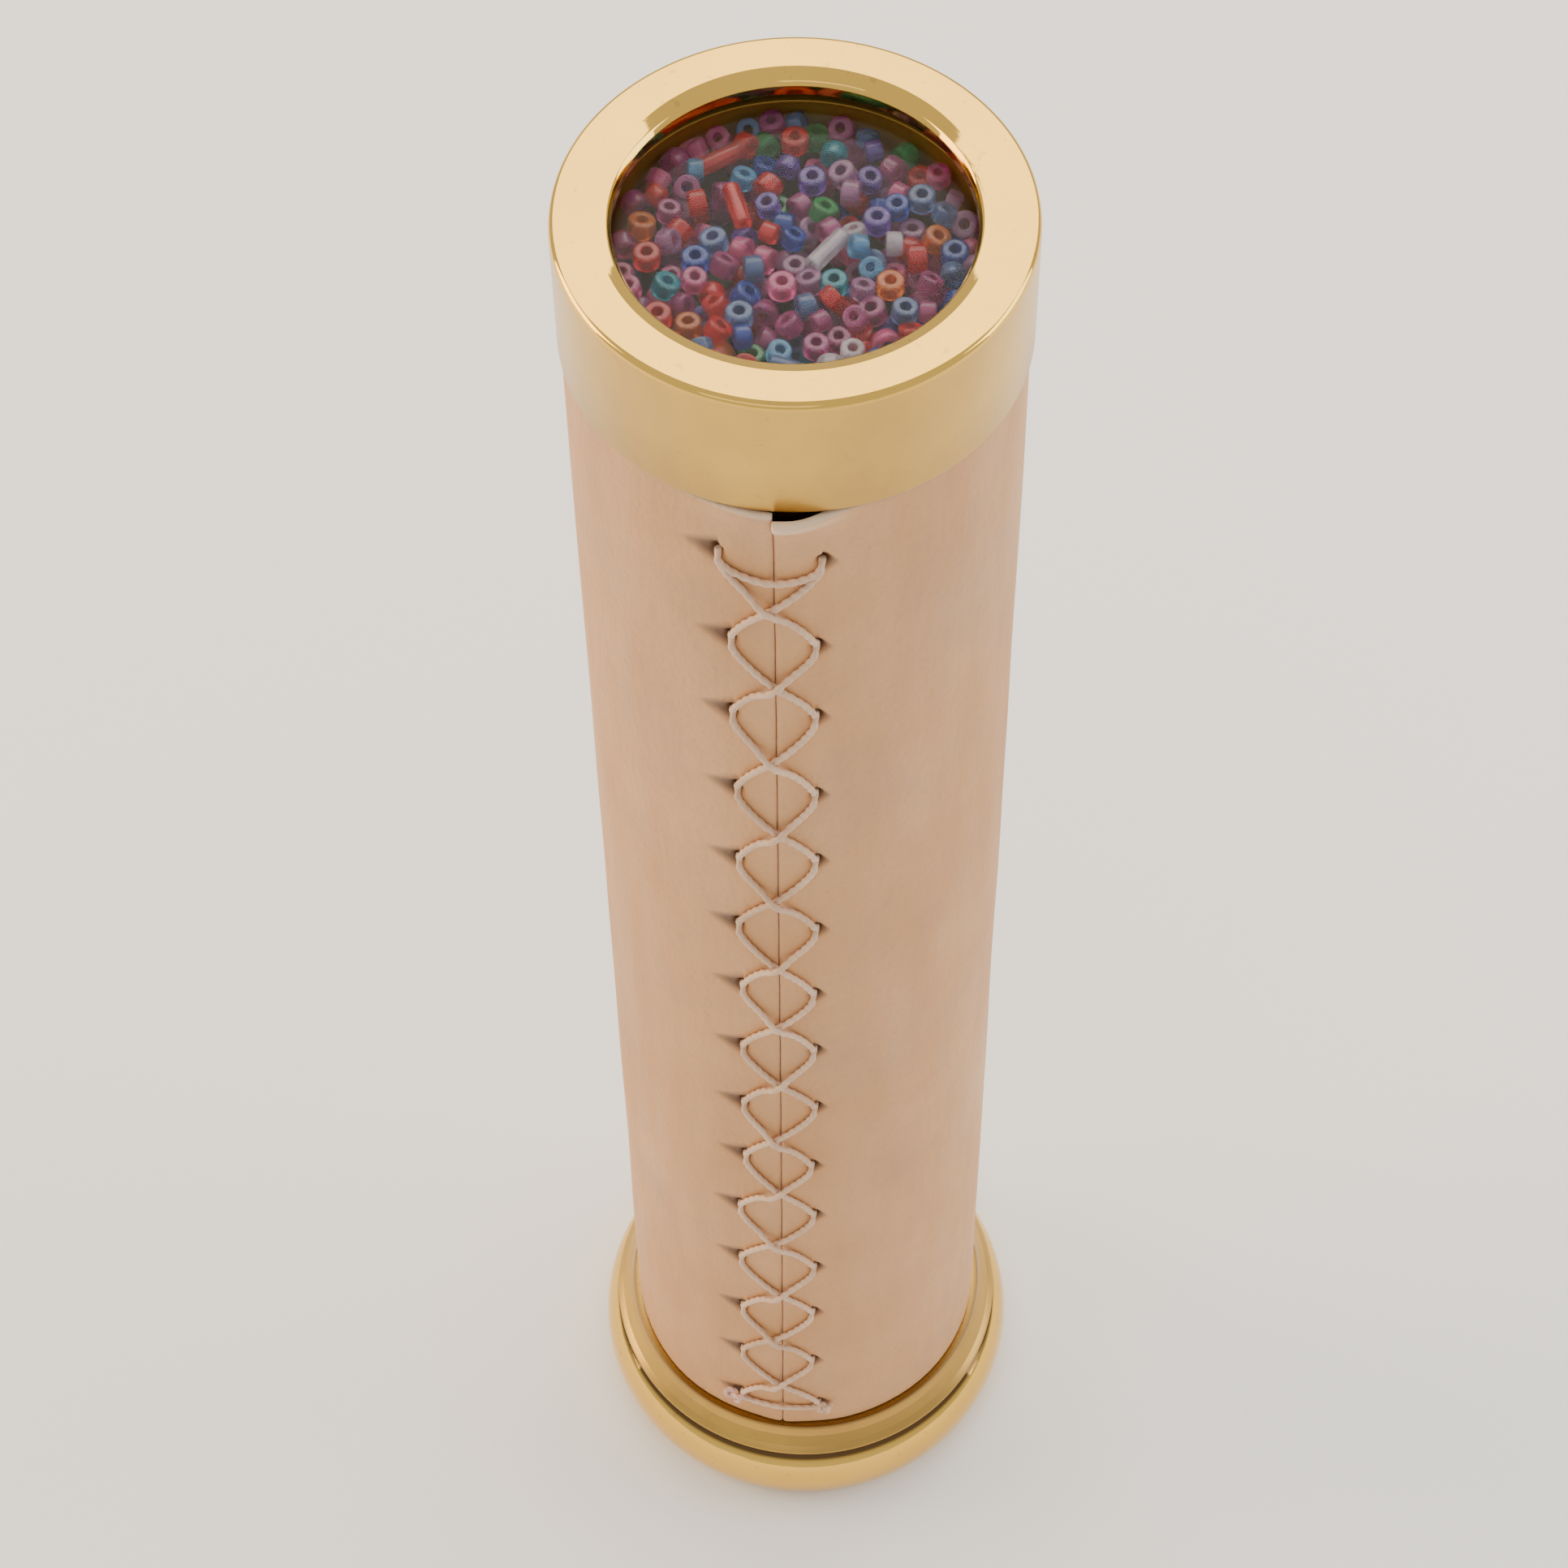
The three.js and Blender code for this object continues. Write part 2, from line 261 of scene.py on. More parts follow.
def oval(centre, size, first, last, steps):
    """Points of an upright ellipse between two angles, as corners with no fillet."""
    points = []
    for k in range(steps + 1):
        angle = math.radians(first + (last - first) * k / steps)
        r = centre[0] + size[0] * math.cos(angle)
        z = centre[1] + size[1] * math.sin(angle)
        points.append((r, z, 0))
    return points


def revolved(outline, around):
    """Points and faces of a closed outline of (r, z) turned about Z."""
    points, faces = [], []
    count = len(outline)
    for i in range(around):
        angle = 2 * math.pi * i / around
        for r, z in outline:
            points.append((r * math.cos(angle), r * math.sin(angle), z))
    for i in range(around):
        j = (i + 1) % around
        for k in range(count):
            n = (k + 1) % count
            faces.append((i * count + k, j * count + k, j * count + n, i * count + n))
    return points, faces


def turned(name, outline, around=192):
    """A piece turned about Z from a closed outline."""
    return mesh_object(name, *revolved(outline, around))


def tube_rings(path, radius_of, around=14):
    """Points and faces of a closed tube along path. radius_of(step, angle) is in mm."""
    points, faces = [], []
    side = None
    for i, here in enumerate(path):
        ahead = (path[min(i + 1, len(path) - 1)] - path[max(i - 1, 0)]).normalized()
        if side is None:
            side = ahead.orthogonal().normalized()
        side = (side - ahead * side.dot(ahead)).normalized()
        other = ahead.cross(side)
        for k in range(around):
            angle = 2 * math.pi * k / around
            offset = side * math.cos(angle) + other * math.sin(angle)
            points.append(here + offset * radius_of(i, angle))
    for i in range(len(path) - 1):
        for k in range(around):
            n = (k + 1) % around
            a, b = i * around, (i + 1) * around
            faces.append((a + k, a + n, b + n, b + k))
    faces.append(tuple(range(around))[::-1])
    faces.append(tuple((len(path) - 1) * around + k for k in range(around)))
    return points, faces


def joined(parts):
    """One list of points and faces from several."""
    points, faces = [], []
    for some, quads in parts:
        base = len(points)
        points.extend(some)
        faces.extend(tuple(base + v for v in face) for face in quads)
    return points, faces


# ---------------------------------------------------------------- brass

def brass(name, polish, shade_amount=0.0):
    """Brass. polish is its roughness where it isn't satin, and tarnish paints shade over all of it.

    The point attribute satin makes it rougher and duller, adds a painted reflection of the leather that
    is browner low on the brass, and groove makes it dark with painted shade.
    """
    bright, bright_stained = (0.84, 0.52, 0.10), (0.79, 0.48, 0.09)
    # The second colour here is a painted reflection of the leather, used on low satin brass.
    dull, painted_reflection_brown, speckled = (0.44, 0.27, 0.08), (0.40, 0.23, 0.055), (0.4, 0.24, 0.09)
    # Painted shade colours: the first darkens a whole piece, the second darkens the groove under the
    # collar.
    shade_colour, painted_shade = (0.16, 0.10, 0.075), (0.09, 0.05, 0.025)
    low_edge, low_end = MM * HEAD_BOTTOM, MM * 197
    satin_roughness = 0.24
    material, tree, shader = new_material(name, Metallic=1.0)
    stain = cloud(tree, 70, 5)
    speck = cloud(tree, 900, 2)
    satin = attribute(tree, "satin")
    colour = mixed(tree, spread(tree, stain, 0.35, 0.7), bright, bright_stained)
    wear = spread(tree, cloud(tree, 60, 5, (1, 1, 0.6)), 0.34, 0.62, 0.35, 0.85)
    worn = maths(tree, "MULTIPLY", satin, wear)
    colour = mixed(tree, worn, colour, dull)
    height = node(tree, "ShaderNodeSeparateXYZ", {0: place(tree)}).outputs["Z"]
    # Painted reflection of the leather: satin brass turns darker and browner from 197 mm down to the
    # cap's lower edge, and keeps that share below it.
    low = maths(tree, "MULTIPLY", satin, spread(tree, height, low_edge, low_end, 0.4, 0))
    colour = mixed(tree, low, colour, painted_reflection_brown)
    colour = mixed(tree, spread(tree, speck, 0.66, 0.74, 0, 0.35), colour, speckled)
    # Painted shade over the whole piece.
    colour = mixed(tree, shade_amount, colour, shade_colour)
    brushed = cloud(tree, 260, 4, (1, 1, 9))
    rough = maths(tree, "MULTIPLY", satin, satin_roughness)
    rough = maths(tree, "ADD", rough, polish)
    rough = maths(tree, "ADD", rough, spread(tree, stain, 0.3, 0.7, -0.015, 0.03))
    # Painted shade from the groove attribute: dark in the groove under the collar and where the leather
    # ends.
    colour = mixed(tree, attribute(tree, "groove"), colour, painted_shade)
    put(tree, shader.inputs["Base Color"], colour)
    put(tree, shader.inputs["Roughness"], rough)
    put(tree, shader.inputs["Normal"], bump(tree, brushed, 0.00002, 0.5))
    return material


def give(obj, name, value_of):
    """A point attribute on a finished piece, from its points in millimetres."""
    mesh = obj.data
    layer = mesh.attributes.new(name, "FLOAT", "POINT")
    values = [value_of(math.hypot(v.co.x, v.co.y) / MM, v.co.z / MM) for v in mesh.vertices]
    layer.data.foreach_set("value", values)


def collar_painted_shade(r, z):
    """Painted shade in the groove under the collar's edge, and a lighter painted shadow where the
    leather ends.
    """
    if r < 20.5:
        return 0.0
    if z > 13:
        return 0.7 * ease((z - 13) / 0.4)
    return ease((z - 8.7) / 0.4) * (1 - ease((z - 10.2) / 0.2))


def add_eyepiece(material):
    """Rounded foot, groove and flared collar, with the eye cup and lens pocket below."""
    roll = oval((FOOT_RADIUS - 3, FOOT_HEIGHT / 2), (3, FOOT_HEIGHT / 2), -90, 62, 26)
    cup = oval((CUP_RADIUS - 6, 0), (6, CUP_DEPTH), 90, 0, 14)
    corners = [
        (EYE_HOLE, CUP_DEPTH, 0.3),
        *cup[:-1],
        (CUP_RADIUS, 0.0, 0.3),
        *roll[1:],
        (22.2, 9.75, 0.15),
        (23.05, 10.45, 0.3),
        (22.2, 11.2, 0.6),
        (21.4, 12.3, 0.6),
        (21.0, 13.1, 0.3),
        (20.85, COLLAR_TOP, 0.12),
        (SOCKET_RADIUS, COLLAR_TOP, 0.1),
        (SOCKET_RADIUS, SHOULDER, 0),
        (LENS_POCKET, SHOULDER, 0),
        (LENS_POCKET, CUP_DEPTH + 1, 0),
        (EYE_HOLE, CUP_DEPTH + 1, 0.15),
    ]
    piece = turned("eyepiece_brass", filleted(corners))
    give(piece, "satin", lambda r, z: 1.0 if z > 9.8 and r > 19.5 else 0.0)
    give(piece, "groove", collar_painted_shade)
    finish_piece(piece, "barrel", material, ["eyepiece_cap"])


def add_object_cap(material):
    """The cap with a polished face, a lip that slopes in to the window, and satin sides."""
    corners = [
        (SKIRT_INNER, HEAD_BOTTOM, 0.1),
        (HEAD_RADIUS, HEAD_BOTTOM, 0.25),
        (HEAD_RADIUS, TOTAL_HEIGHT, 0.75),
        (WINDOW_RADIUS + 1.5, TOTAL_HEIGHT, 1.0),
        (WINDOW_RADIUS + 0.3, TOTAL_HEIGHT - 0.5, 0.5),
        (WINDOW_RADIUS, TOTAL_HEIGHT - 0.95, 0.2),
        (WINDOW_RADIUS, FACE_UNDERSIDE, 0.1),
        (SKIRT_INNER, FACE_UNDERSIDE, 0),
    ]
    piece = turned("object_cap_brass", filleted(corners, 8))
    give(piece, "satin", lambda r, z: ease((TOTAL_HEIGHT - 0.4 - z) / 0.5) if r > 19 else 0)
    finish_piece(piece, "object_head", material, ["object_cap"])


def add_chamber_ring(material):
    """The wall of the bead chamber."""
    corners = [
        (CHAMBER_RADIUS, CHAMBER_BOTTOM, 0.1),
        (PANE_RADIUS, CHAMBER_BOTTOM, 0.1),
        (PANE_RADIUS, CHAMBER_TOP, 0.1),
        (CHAMBER_RADIUS, CHAMBER_TOP, 0.2),
    ]
    piece = turned("chamber_ring_brass", filleted(corners, 3), 144)
    give(piece, "satin", lambda r, z: 0.6)
    finish_piece(piece, "object_head", material, ["chamber_ring"])


# ---------------------------------------------------------------- leather

def drift(z):
    """How far the seam wanders to the left towards the foot, in mm of arc."""
    return -0.9 * (1 - z / LEATHER_TOP) ** 1.6


def make_holes():
    """The lacing holes, as lists of (distance from the seam, z) for each side, top first."""
    random.seed(15)
    holes = {LEFT: [], RIGHT: []}
    for row in range(ROWS):
        base = TOP_ROW - ROW_PITCH * row
        for side in (LEFT, RIGHT):
            at_end = row in (0, ROWS - 1)
            low_left = side == LEFT and row > 9
            wide = WIDER_OFFSET if at_end or low_left else 0.0
            offset = HOLE_OFFSET[side] + wide + random.uniform(-0.2, 0.2)
            jitter = 0 if at_end else random.uniform(-0.5, 0.5)
            holes[side].append((offset, base + jitter))
    return holes


HOLES = make_holes()
HOLE_Z = {side: [-z for _, z in HOLES[side]] for side in HOLES}


def near_holes(side, z, reach):
    """The holes of one side within reach of this height."""
    first = bisect.bisect_left(HOLE_Z[side], -z - reach)
    last = bisect.bisect_right(HOLE_Z[side], -z + reach)
    return HOLES[side][first:last]


def ease(t):
    """A smooth step from 0 to 1."""
    t = min(1.0, max(0.0, t))
    return t * t * (3 - 2 * t)


def hole_depth(side, s, z):
    """How deep the leather is pressed in at the lacing holes."""
    deep = 0.0
    for offset, height in near_holes(side, z, 2.5):
        away = math.hypot(s - offset, (z - height) * 0.9)
        deep += HOLE_PRESS * math.exp(-((away / HOLE_REACH) ** 2))
    return deep


def pucker(side, s, z):
    """The crease that runs from each hole, away from the seam. It is 0 to 1."""
    length, tilt, widest = (3.4, 0.15, 1.65) if side == LEFT else (1.5, -0.2, 1.3)
    dark = 0.0
    for offset, height in near_holes(side, z, 3.0):
        t = (s - offset) / length
        if -0.1 < t < 1:
            width = widest * (1 - 0.78 * max(t, 0))
            across = (z - height - tilt * (s - offset)) / width
            dark = max(dark, (1 - max(t, 0)) ** 0.7 * math.exp(-across * across))
    return dark


def flap(side, s, z):
    """How far the top corners of the leather turn out, from 0 to 1."""
    wide = 7.0 if side == RIGHT else 8.5
    tall = 4.2
    return ease((z - (LEATHER_TOP - tall)) / tall) * (1 - ease((s - 1.5) / wide))


def relief(side, s, z):
    """How far the leather's surface stands over its plain cylinder."""
    phase = 2 * math.pi * (TOP_ROW - z) / ROW_PITCH
    seam_width = 2.4
    puff = (0.1 - 0.14 * math.cos(phase)) * math.exp(-((s / seam_width) ** 2))
    lift = puff - hole_depth(side, s, z) - PUCKER_DEPTH * pucker(side, s, z)
    turn_out = 1.6 if side == RIGHT else 0.75
    lift += turn_out * flap(side, s, z) ** 1.4
    wave = noise.noise(Vector((s * side * 0.12, 3.1, z * 0.05)))
    return lift + 0.10 * wave


def leather_columns():
    """Distances from the seam, fine near it and coarse at the back."""
    fine, medium, fine_end, medium_end = 0.2, 0.35, 5.5, 8
    places = []
    s = SEAM_HALF_GAP + 0.42
    while s < medium_end:
        places.append(s)
        s += fine if s < fine_end else medium
    half = math.pi * LEATHER_RADIUS
    steps = 34
    places += [medium_end + (half - medium_end) * k / steps for k in range(steps + 1)]
    return places


def leather_rows():
    """Heights, fine near the holes."""
    rows = {round(LEATHER_BOTTOM + 1.4 * k, 3) for k in range(1, 126)}
    for side in (LEFT, RIGHT):
        for _, height in HOLES[side]:
            rows |= {round(height + 0.2 * k, 1) for k in range(-7, 8)}
    rows |= {round(FLAP_BOTTOM + 0.3 * k, 1) for k in range(16)}
    kept = [LEATHER_BOTTOM + 0.2]
    for z in sorted(rows):
        if z - kept[-1] > 0.11 and z < LEATHER_TOP - 0.25:
            kept.append(z)
    return [LEATHER_BOTTOM, LEATHER_BOTTOM + 0.06] + kept + [LEATHER_TOP - 0.06, LEATHER_TOP]


def leather_section():
    """The outline of one row: (side, distance from seam, depth under the surface)."""
    columns = leather_columns()
    edge = SEAM_HALF_GAP
    rolled = [(edge + 0.2, 0.07), (edge + 0.06, 0.2), (edge, 0.4)]
    outer = [(s, 0.0) for s in columns]
    left_out = [(LEFT, s, d) for s, d in rolled[::-1] + outer]
    right_out = [(RIGHT, s, d) for s, d in (rolled[::-1] + outer)[::-1]][1:]
    path = left_out + right_out
    inner = [(side, s, LEATHER_THICKNESS - 0.3 * d) for side, s, d in path[::-1]]
    return path, inner


def top_drop(side, s):
    """How much lower the top edge is near the seam."""
    deepest, wide = (0.1, 5.0) if side == RIGHT else (0.0, 4.0)
    return deepest * (1 - ease((s - 0.5) / wide))


def leather_point(side, s, depth, z, end):
    """A point of the sheet. end is 0 on the body and up to 1 at its top and bottom edges."""
    height = z
    fall = 8
    if z > LEATHER_TOP - fall:
        height -= top_drop(side, s) * ease((z - LEATHER_TOP + fall) / fall)
    surface = LEATHER_RADIUS + relief(side, s, z)
    if depth > 0.5:
        surface = LEATHER_RADIUS + (relief(side, s, z) if z > FLAP_BOTTOM else 0)
        surface = max(surface, HUGGING_RADIUS) if z < FLAP_BOTTOM + 1 else surface
    middle = surface - LEATHER_THICKNESS / 2
    r = middle + (surface - depth - middle) * (1 - 0.28 * end)
    angle = -math.pi / 2 + (drift(z) + side * s) / LEATHER_RADIUS
    return (r * math.cos(angle), r * math.sin(angle), height)


def add_leather(material):
    """The sheet, with marks for its material: hole is painted shade in the holes and creases, cut is a
    pale raw edge.
    """
    rows = leather_rows()
    outer, inner = leather_section()
    section = outer + inner
    count, half = len(section), len(outer)
    points, holes, cut = [], [], []
    for number, z in enumerate(rows):
        from_end = min(number, len(rows) - 1 - number)
        end = 1.0 if from_end == 0 else 0.35 if from_end == 1 else 0.0
        for side, s, depth in section:
            points.append(leather_point(side, s, depth, z, end))
            # Painted shade in the lacing holes and the creases that run from them.
            mark = max(hole_depth(side, s, z), pucker(side, s, z) ** 0.8) if depth < 0.3 else 0
            holes.append(min(1, mark))
            pale = max(end, 0.3 * ease(depth / 0.25) if s < 2 else 0)
            pale = max(pale, ease((z - LEATHER_TOP + 1.5) / 1.5) if depth > 0.3 else 0)
            if side == RIGHT and s < 7:
                pale = max(pale, 0.85 * ease((z - LEATHER_TOP + 1.1) / 0.3) * (1 - s / 7))
            cut.append(min(1, pale))
    faces = []
    for number in range(len(rows) - 1):
        a, b = number * count, (number + 1) * count
        for k in range(count):
            n = (k + 1) % count
            faces.append((a + k, a + n, b + n, b + k))
    for base, flip in ((0, True), ((len(rows) - 1) * count, False)):
        for k in range(half - 1):
            quad = (base + k, base + k + 1, base + count - 2 - k, base + count - 1 - k)
            faces.append(quad[::-1] if flip else quad)
    marks = {"hole": holes, "cut": cut}
    piece = mesh_object("leather", points, faces, 50, marks)
    finish_piece(piece, "barrel", material, ["leather_sleeve"])


def leather_material():
    """Natural leather with clouding, streaks, scuffs and pores, and painted shade in the holes and
    creases.
    """
    tan, pale_tan = (0.55, 0.265, 0.095), (0.69, 0.37, 0.16)
    streaked, freckled, scuffed = (0.55, 0.27, 0.11), (0.46, 0.23, 0.10), (0.42, 0.25, 0.14)
    # The second colour is the painted shade of the holes and creases.
    raw_edge, in_hole = (0.80, 0.62, 0.44), (0.10, 0.045, 0.022)
    material, tree, shader = new_material("vegetable_tanned_leather", Roughness=0.6)
    broad = cloud(tree, 34, 5)
    streak = cloud(tree, 240, 5, (1, 1, 0.16))
    fine = cloud(tree, 1600, 3)
    colour = mixed(tree, spread(tree, broad, 0.3, 0.72), tan, pale_tan)
    colour = mixed(tree, spread(tree, streak, 0.42, 0.78, 0, 0.5), colour, streaked)
    colour = mixed(tree, spread(tree, fine, 0.55, 0.75, 0, 0.3), colour, freckled)
    scuff = cloud(tree, 48, 7, (1, 1, 0.7), 0.7)
    colour = mixed(tree, spread(tree, scuff, 0.5, 0.72, 0, 0.5), colour, scuffed)
    colour = mixed(tree, attribute(tree, "cut"), colour, raw_edge)
    # Painted shade: near black in the lacing holes and their creases.
    dark = spread(tree, attribute(tree, "hole"), 0.18, 0.75, 0, 0.88)
    colour = mixed(tree, dark, colour, in_hole)
    put(tree, shader.inputs["Base Color"], colour)
    rough = spread(tree, streak, 0.3, 0.7, 0.5, 0.68)
    put(tree, shader.inputs["Roughness"], rough)
    pores = node(
        tree, "ShaderNodeTexVoronoi", {"Vector": place(tree, (1, 1, 0.55)), "Scale": 1500}
    ).outputs["Distance"]
    normal = bump(tree, streak, 0.00025, 0.5)
    normal = bump(tree, pores, 0.00008, 0.6, normal)
    normal = bump(tree, fine, 0.0001, 0.5, normal)
    put(tree, shader.inputs["Normal"], normal)
    return material


# ---------------------------------------------------------------- thread

def thread_radius():
    """Two plies twisted together: the section has two lobes that turn along the thread."""
    turn = 2 * math.pi * THREAD_STEP / TWIST_LENGTH

    def radius(step, angle):
        lobe = abs(math.cos(angle - turn * step))
        return THREAD_RADIUS * (0.74 + 0.30 * lobe)

    return radius


def over_leather(u, z, lift):
    """A point this far over the leather, at arc distance u from the seam line."""
    side = RIGHT if u > 0 else LEFT
    s = max(abs(u), 0.8)
    unpressed = LEATHER_RADIUS + relief(side, s, z) + hole_depth(side, s, z)
    unpressed += PUCKER_DEPTH * pucker(side, s, z)
    r = unpressed + lift
    angle = -math.pi / 2 + (drift(z) + u) / LEATHER_RADIUS
    return Vector((r * math.cos(angle), r * math.sin(angle), z))


def stitch_path(start, end, hump, sag=0.0):
    """From hole to hole. start and end are (u, z); hump lifts the middle over another thread."""
    in_hole, on_leather, rise, hump_width = -0.45, 0.35, 0.085, 0.10
    long = math.hypot(end[0] - start[0], end[1] - start[1]) + abs(sag)
    count = int(long / THREAD_STEP)
    path = []
    for i in range(count + 1):
        t = i / count
        across = 0.25 * t + 0.75 * (0.5 - 0.5 * math.cos(math.pi * t))
        u = start[0] + (end[0] - start[0]) * across
        z = start[1] + (end[1] - start[1]) * t - 4 * sag * t * (1 - t)
        from_end = min(t, 1 - t)
        lift = in_hole + (on_leather - in_hole) * ease(from_end / rise)
        lift += hump * math.exp(-(((t - 0.5) / hump_width) ** 2))
        path.append(over_leather(u, z, lift))
    return path


def hole_at(side, row):
    """A hole's arc distance from the seam line, with its sign, and its height."""
    offset, z = HOLES[side][row]
    return (side * offset, z)


def add_thread(material):
    """A row of crosses, with a loose bar above it and a tight one below."""
    random.seed(4)
    parts = []
    radius = thread_radius()
    for row in range(ROWS - 1):
        for side in (LEFT, RIGHT):
            over = (row % 2 == 0) == (side == LEFT)
            hump = OVER_HUMP if over else UNDER_HUMP
            path = stitch_path(hole_at(side, row), hole_at(-side, row + 1), hump)
            parts.append(tube_rings(path, radius))
    top = stitch_path(hole_at(LEFT, 0), hole_at(RIGHT, 0), BAR_HUMP, LOOSE_SAG)
    parts.append(tube_rings(top, radius))
    last = ROWS - 1
    low = stitch_path(hole_at(LEFT, last), hole_at(RIGHT, last), BAR_HUMP, TIGHT_SAG)
    parts.append(tube_rings(low, radius))
    points, faces = joined(parts)
    piece = mesh_object("lacing", points, faces, 80)
    finish_piece(piece, "barrel", material, ["lacing_thread"])


def add_knot(name, side, size, material, replaced, seed):
    """A small overhand knot pulled tight over the last hole."""
    random.seed(seed)
    offset, z = HOLES[side][ROWS - 1]
    u = side * (offset + 0.55)
    centre = over_leather(u, z, 0.35)
    outward = Vector((centre.x, centre.y, 0)).normalized()
    across = Vector((0, 0, 1)).cross(outward)
    lean = random.uniform(0, 2)
    path = []
    steps = 90
    for i in range(steps + 1):
        t = 2 * math.pi * i / steps * 0.97 + lean
        x = (math.sin(t) + 2 * math.sin(2 * t)) / 3
        y = (math.cos(t) - 2 * math.cos(2 * t)) / 3
        h = -math.sin(3 * t)
        point = centre + across * (x * size) + Vector((0, 0, 1)) * (y * size * 0.7)
        path.append(point + outward * (0.3 + 0.28 * h))
    points, faces = tube_rings(path, thread_radius())
    piece = mesh_object(name, points, faces, 80)
    finish_piece(piece, "barrel", material, [replaced])


def thread_material(name, pale, dark):
    """Waxed thread, darker in its twist and where it is grimy."""
    material, tree, shader = new_material(name, Roughness=0.62)
    shader.inputs["Sheen Weight"].default_value = 0.15
    twist = cloud(tree, 1500, 3, (1, 1, 2.2))
    grime = cloud(tree, 120, 3)
    colour = mixed(tree, spread(tree, grime, 0.35, 0.75), pale, dark)
    colour = mixed(tree, spread(tree, twist, 0.5, 0.8, 0, 0.4), colour, dark)
    put(tree, shader.inputs["Base Color"], colour)
    put(tree, shader.inputs["Normal"], bump(tree, twist, 0.0001, 0.7))
    return material


# ---------------------------------------------------------------- beads

BEAD_RADII = (1.02, 1.22)
BEADS_DROPPED = 1300
PLACES_TRIED = 14
BEAD_SQUASH = 0.82  # how far a lying bead reaches down or up from its centre, over its radius
CLOSENESS = 0.93  # distance of touching beads' centres, over the sum of their radii

BUGLE_SIZE = (0.8, 4.4)  # radius and length
EDGE_BEAD_SIZE = (0.9, 1.4)
FLAT_BEAD_SIZE = (1.2, 1.6)

BEADS = {  # colour and share of each kind of glass
    "violet": ((0.19, 0.07, 0.44), 6),
    "cobalt": ((0.04, 0.09, 0.50), 7),
    "slate": ((0.14, 0.22, 0.46), 4),
    "sky": ((0.12, 0.38, 0.64), 1),
    "teal": ((0.01, 0.34, 0.42), 2),
    "green": ((0.04, 0.38, 0.10), 3),
    "red": ((0.80, 0.02, 0.03), 9),
    "orange": ((0.92, 0.20, 0.02), 2),
    "pink": ((0.80, 0.13, 0.34), 8),
    "plum": ((0.52, 0.08, 0.28), 12),
    "mauve": ((0.50, 0.20, 0.40), 7),
    "clear": ((0.68, 0.60, 0.66), 2),
}


def bead_material(name, colour):
    """Clear coloured glass with a streak in it."""
    material, tree, shader = new_material(
        f"{name}_glass",
        Roughness=0.22,
        IOR=1.4,
        Transmission_Weight=0.72,
        Coat_Weight=0.2,
        Coat_Roughness=0.03,
    )
    streak = cloud(tree, 420, 2)
    lighter = tuple(min(1, c * 1.35 + 0.01) for c in colour)
    put(tree, shader.inputs["Base Color"], mixed(tree, spread(tree, streak, 0.35, 0.7), colour, lighter))
    put(tree, shader.inputs["Normal"], bump(tree, cloud(tree, 300, 2), 0.00004, 0.3))
    return material


def bead_shape(radius, length, around):
    """Points and faces of one glass bead about Z, with softly melted edges."""
    hole = radius * 0.4
    soft = min(radius * 0.5, length * 0.4)
    half = length / 2
    corners = [
        (hole, -half, 0.15),
        (radius, -half, soft),
        (radius, half, soft),
        (hole, half, 0.15),
    ]
    points, faces = revolved(filleted(corners, 4), around)
    return [Vector(p) for p in points], faces


def placed(shape, axis, centre):
    """A shape with its Z turned to axis, at centre."""
    turn = Vector((0, 0, 1)).rotation_difference(axis)
    points, faces = shape
    return [turn @ p + centre for p in points], faces


def pick_colours():
    """Each colour's name, as often as its share."""
    names = []
    for name, (_, share) in BEADS.items():
        names += [name] * share
    return names


def loose_places():
    """Room that the loose beads take up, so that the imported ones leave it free."""
    places = []
    for name in sorted(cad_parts):
        if "_bead_" in name:
            low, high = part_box(name)
            x, y, z = (low + high) / 2 / MM
            reach = max(high.x - low.x, high.y - low.y) / 2 / MM
            places.append((x, y, z + 0.1, min(reach, 1.5) + 0.1))
    return places


def settle(count):
    """Spheres dropped one by one to the lowest place found: (x, y, z, radius)."""
    done = loose_places()
    own = len(done)
    for _ in range(count):
        radius = random.uniform(*BEAD_RADII)
        best = None
        for _ in range(PLACES_TRIED):
            reach = (CHAMBER_RADIUS - 0.15 - 1.05 * radius) * random.random() ** 0.42
            angle = random.uniform(0, 2 * math.pi)
            x, y = reach * math.cos(angle), reach * math.sin(angle)
            z = CHAMBER_BOTTOM + 0.1 + BEAD_SQUASH * radius
            for ox, oy, oz, other in done:
                need = CLOSENESS * (radius + other)
                flat = (x - ox) ** 2 + (y - oy) ** 2
                if flat < need * need:
                    z = max(z, oz + math.sqrt(need * need - flat))
            if best is None or z < best[2]:
                best = (x, y, z, radius)
        if best[2] + BEAD_SQUASH * best[3] < BED_TOP:
            done.append(best)
    return done[own:]


def add_packed_beads(materials):
    """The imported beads, as one piece for each colour."""
    random.seed(23)
    names = pick_colours()
    groups = {name: [] for name in BEADS}
    for x, y, z, radius in settle(BEADS_DROPPED):
        lean = random.choice((0.15, 0.5, 1.2, 1.5)) + random.uniform(-0.15, 0.15)
        spin = random.uniform(0, 2 * math.pi)
        tilt = math.sin(lean)
        axis = Vector((tilt * math.cos(spin), tilt * math.sin(spin), math.cos(lean)))
        shape = bead_shape(radius * 1.02, radius * 1.35, 24)
        groups[random.choice(names)].append(placed(shape, axis, Vector((x, y, z))))
    replaced = ["bead_bed"]
    for name, parts in groups.items():
        points, faces = joined(parts)
        piece = mesh_object(f"packed_beads_{name}", points, faces, 60)
        finish_piece(piece, "packed_beads", materials[name], replaced)
        replaced = []


